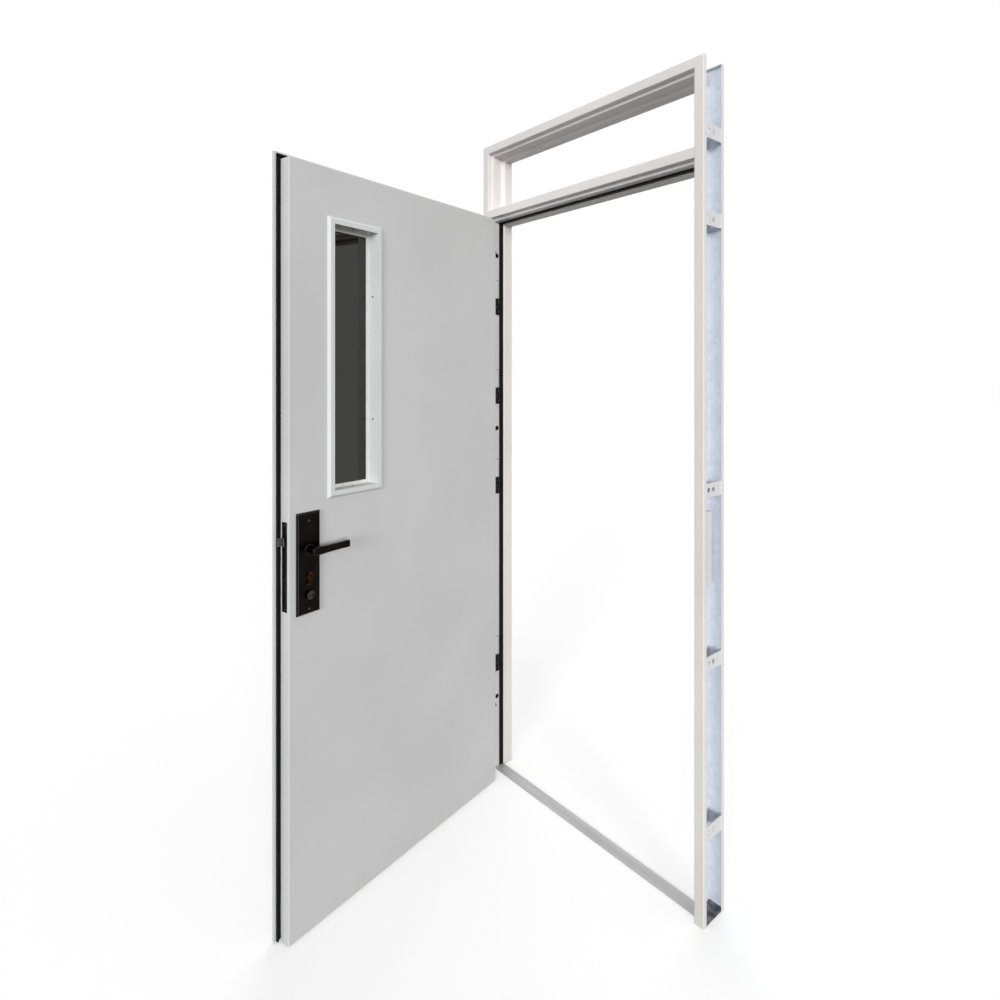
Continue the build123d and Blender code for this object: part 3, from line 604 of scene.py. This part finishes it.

# Black cups behind the three dog bolt holes in the hinge jamb; their black is painted shade for the dark
# inside of the holes.
cupSizes = {"wallX": -449.5, "depthY": -16.5, "levels": (271.0, 1312.0, 1980.0), "radius": 10.5,
            "length": 20.0, "wall": 1.2, "sides": 40, "arris": 0.4, "arrisSteps": 2, "arrisDegrees": 60.0}
cupModel = addCylinder(cupSizes["sides"], cupSizes["radius"], cupSizes["length"], -cupSizes["length"] / 2)
moveTop(cupModel, cupSizes["wall"], cupSizes["wall"] - cupSizes["length"])
bpy.ops.object.mode_set(mode="OBJECT")
roundArrises(cupModel, cupSizes)
cups = copyTo(cupModel, [facing((cupSizes["wallX"], cupSizes["depthY"], level), "+x", "+z")
                         for level in cupSizes["levels"]], "dog_bolt_cups")
dress(cups, "frame", "seal_rubber")
discard(cupModel)
print("fire door: dog bolt cups set")

# Cover over the free half of each hinge's pocket in the jamb; the black line around it is a painted shadow of
# the gap round the cover.
coverSizes = {"levels": (433.5, 1121.7, 1469.4, 1814.0), "wallX": -448.0, "middleY": -20.0, "width": 25.0,
              "height": 70.0, "gap": 1.0, "joint": 1.3, "sunk": 0.3, "proud": 0.25, "lift": 0.35}
coverModel = addBlock((coverSizes["height"], coverSizes["width"], coverSizes["proud"] + coverSizes["sunk"]),
                      (0.0, 0.0, (coverSizes["proud"] - coverSizes["sunk"]) / 2))
# the black rim is painted shadow of the gap round the cover
coverModel.data.materials.append(finishes["seal_rubber"])
coverModel.data.materials.append(finishes["frame_paint"])
moveTop(coverModel, coverSizes["joint"], coverSizes["lift"])
coverModel.active_material_index = 1
bpy.ops.object.material_slot_assign()
bpy.ops.object.mode_set(mode="OBJECT")
coverRise = coverSizes["height"] / 2 + coverSizes["gap"]
coverPlaces = [(coverSizes["wallX"], coverSizes["middleY"], level + coverRise)
               for level in coverSizes["levels"]]
covers = copyTo(coverModel, [facing(place, "+x", "+z") for place in coverPlaces], "hinge_pocket_covers")
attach(covers, "frame")
discard(coverModel)
print("fire door: hinge pocket covers set")

# Camera at the photograph's place: level, turned towards the hinge side, shifted for the framing.
cameraPlace = {
    "location": (1.46510, -1.58082, 1.52178),
    "turn": 0.856753,
    "focalPixels": 635.938,
    "centrePixels": (515.181, 374.047),
    "imagePixels": 1000.0,
    "sensorMm": 36.0,
}
cameraData = bpy.data.cameras.new("door_camera")
cameraData.sensor_width = cameraPlace["sensorMm"]
cameraData.lens = cameraPlace["focalPixels"] * cameraPlace["sensorMm"] / cameraPlace["imagePixels"]
cameraData.shift_x = 0.5 - cameraPlace["centrePixels"][0] / cameraPlace["imagePixels"]
cameraData.shift_y = cameraPlace["centrePixels"][1] / cameraPlace["imagePixels"] - 0.5
cameraObject = bpy.data.objects.new("door_camera", cameraData)
cameraObject.location = cameraPlace["location"]
cameraObject.rotation_euler = (math.pi / 2, 0.0, cameraPlace["turn"])
bpy.context.collection.objects.link(cameraObject)
bpy.context.scene.camera = cameraObject

# Plain soft light: low lamps on the lock side and in front, a weak broad one behind, and an even sky.
# Only the side lamp shows in reflections, as a glint on metal.
studio = {
    "floorSize": 60.0,
    "floorSeen": "f2f2f2",
    "floorShade": "222222",
    "floorRoughness": 0.95,
    "floorSpecular": 0.1,
    "floorLift": 0.30,
    "lightColour": "ffffff",
    "skyStrength": 0.55,
    "skySeen": 1.0,
    "lampDistance": 4.0,
    "lamps": {
        "side_lamp": {"from": (1.0, -0.35, 0.14), "strength": 1.3, "spread": 14.0, "glints": True},
        "front_lamp": {"from": (0.6, -1.0, 0.18), "strength": 1.5, "spread": 18.0, "glints": False},
        "back_lamp": {"from": (-0.7, 1.0, 0.6), "strength": 0.9, "spread": 60.0, "glints": False},
    },
}


# 1 where the camera, a mirror or glass looks at the surface, 0 where it only passes light on
def seenDirectly(tree):
    ray = addNode(tree, "ShaderNodeLightPath")
    seen = ray.outputs["Is Camera Ray"]
    for kind in ("Is Transmission Ray", "Is Glossy Ray"):
        seen = addNode(tree, "ShaderNodeMath", {0: seen, 1: ray.outputs[kind]},
                       operation="MAXIMUM").outputs["Value"]
    return seen


clearSelection()
bpy.ops.mesh.primitive_plane_add(size=studio["floorSize"], location=(0.0, 0.0, 0.0))
floor = bpy.context.object
floor.name = "studio_floor"
# Floor paint: pale to the eye, dark in the light that it sends back up.
floorPaint, floorTree, floorShader, _ = newMaterial("matt floor paint", studio["floorRoughness"],
                                                    specular=studio["floorSpecular"])
floorSeen = seenDirectly(floorTree)
floorTone = addNode(floorTree, "ShaderNodeMix", {"Factor": floorSeen}, data_type="RGBA",
                    in_6=studio["floorShade"], in_7=studio["floorSeen"])
floorTree.links.new(floorTone.outputs["Result"], floorShader.inputs["Base Color"])
floorLift = addNode(floorTree, "ShaderNodeMath", {0: floorSeen}, operation="MULTIPLY",
                    in_1=studio["floorLift"])
floorTree.links.new(floorLift.outputs["Value"], floorShader.inputs["Emission Strength"])
floorShader.inputs["Emission Color"].default_value = linearColour(studio["lightColour"])
floor.data.materials.append(floorPaint)

sky = bpy.data.worlds.new("studio_sky")
bpy.context.scene.world = sky
sky.use_nodes = True
sky.node_tree.nodes.clear()
skyStrength = addNode(sky.node_tree, "ShaderNodeMapRange", {"Value": seenDirectly(sky.node_tree)},
                      in_3=studio["skyStrength"], in_4=studio["skySeen"])
skyLight = addNode(sky.node_tree, "ShaderNodeBackground", {"Strength": skyStrength.outputs["Result"]},
                   in_Color=studio["lightColour"])
addNode(sky.node_tree, "ShaderNodeOutputWorld", {"Surface": skyLight.outputs["Background"]})

for lampName, lamp in studio["lamps"].items():
    lampData = bpy.data.lights.new(lampName, "SUN")
    lampData.energy = lamp["strength"]
    lampData.angle = math.radians(lamp["spread"])
    lampObject = bpy.data.objects.new(lampName, lampData)
    lampObject.rotation_euler = Vector(lamp["from"]).to_track_quat("Z", "Y").to_euler()
    lampObject.location = Vector(lamp["from"]) * studio["lampDistance"]
    lampObject.visible_glossy = lamp["glints"]
    lampObject.visible_transmission = False  # no lamp is seen as a disc through the glass
    bpy.context.collection.objects.link(lampObject)
bpy.context.scene.view_settings.view_transform = "Standard"
print("fire door: camera, floor and light set")
